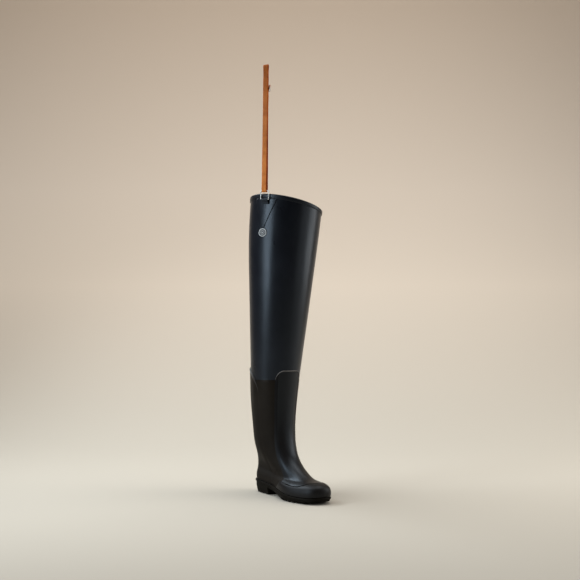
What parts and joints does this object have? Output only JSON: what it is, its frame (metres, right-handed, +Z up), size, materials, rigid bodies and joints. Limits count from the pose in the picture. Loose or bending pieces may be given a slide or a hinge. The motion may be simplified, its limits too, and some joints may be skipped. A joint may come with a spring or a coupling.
{
  "type": "thigh wader boot",
  "caption": "Thigh-high rubber wader boot with a lugged sole and heel, doubled shin and calf panels, a bound collar and a leather hip strap on a steel loop.",
  "frame": {"origin": "on the tread in the middle of the heel, at floor level", "axes": "+Z up along the leg, +X towards the toe, +Y towards the inner side of the leg"},
  "size_m": [0.3076, 0.1977, 1.1758],
  "materials": {
    "shaft_rubber": "satin navy black",
    "panel_rubber": "satin black",
    "sole_rubber": "matt black",
    "badge_rubber": "matt pale grey",
    "insole_felt": "grey felt",
    "tan_leather": "smooth tan",
    "steel_wire": "bright"
  },
  "bodies": {
    "root": {"upper": "shaft_rubber", "outsole": "sole_rubber", "insole": "insole_felt", "rand": "panel_rubber", "shin_panel": "panel_rubber", "calf_panel": "panel_rubber", "collar_binding": "panel_rubber", "strap_anchor": "panel_rubber", "badge": "badge_rubber", "ring_keeper": "panel_rubber", "strap_loop": "steel_wire", "hip_strap": "tan_leather", "buckle": "steel_wire"}
  },
  "joints": []
}
